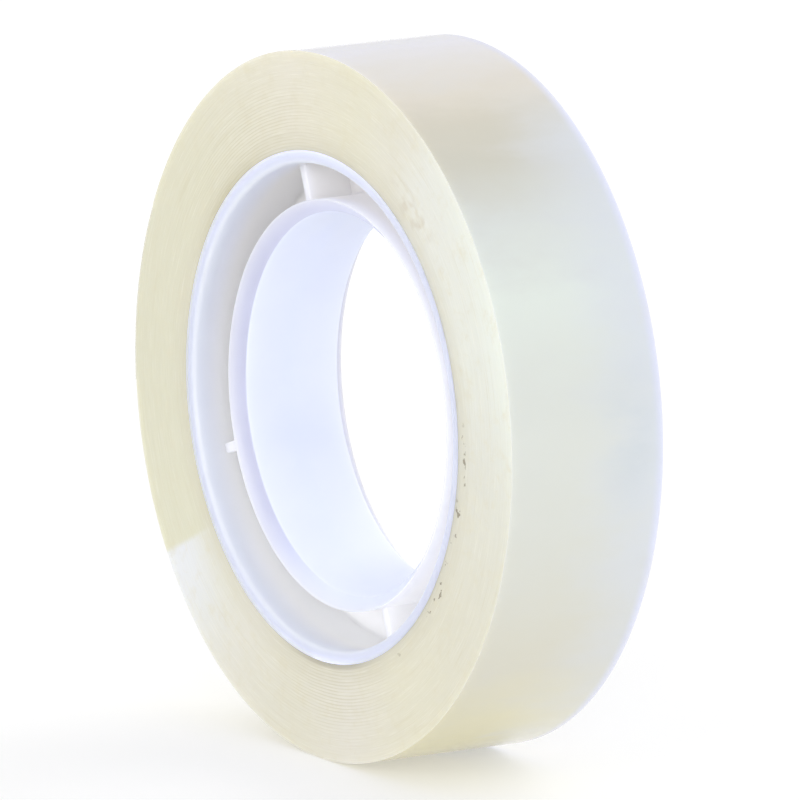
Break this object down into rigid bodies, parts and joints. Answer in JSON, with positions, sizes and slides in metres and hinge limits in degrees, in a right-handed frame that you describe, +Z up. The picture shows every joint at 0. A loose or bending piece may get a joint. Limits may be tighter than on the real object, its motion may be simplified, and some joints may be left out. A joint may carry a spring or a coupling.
{
  "type": "adhesive tape roll",
  "caption": "Roll of clear adhesive tape wound on a white moulded plastic core with a round bore; its free end peels up.",
  "frame": {"origin": "on the roll's axis, midway across the tape", "axes": "+Y along the roll's axis, from the side where the core is flush with the tape to the side where it is set in; +Z up as the roll stands on its edge; the free end is on the -X side"},
  "size_m": [0.0493, 0.012, 0.0488],
  "materials": {
    "core_plastic": "satin moulded white plastic",
    "clear_tape": "clear film, glossy on the tread and finely layered on the sides"
  },
  "bodies": {
    "roll": {"core": "core_plastic", "tape_winding": "clear_tape"},
    "loose_end": {"tape_end": "clear_tape"}
  },
  "joints": [
    {"name": "end_peel", "type": "hinge", "parent": "roll", "child": "loose_end", "pos_m": [-0.02234, 0, 0.01042], "axis": [0, 1, 0], "range_deg": [0, 80]}
  ]
}
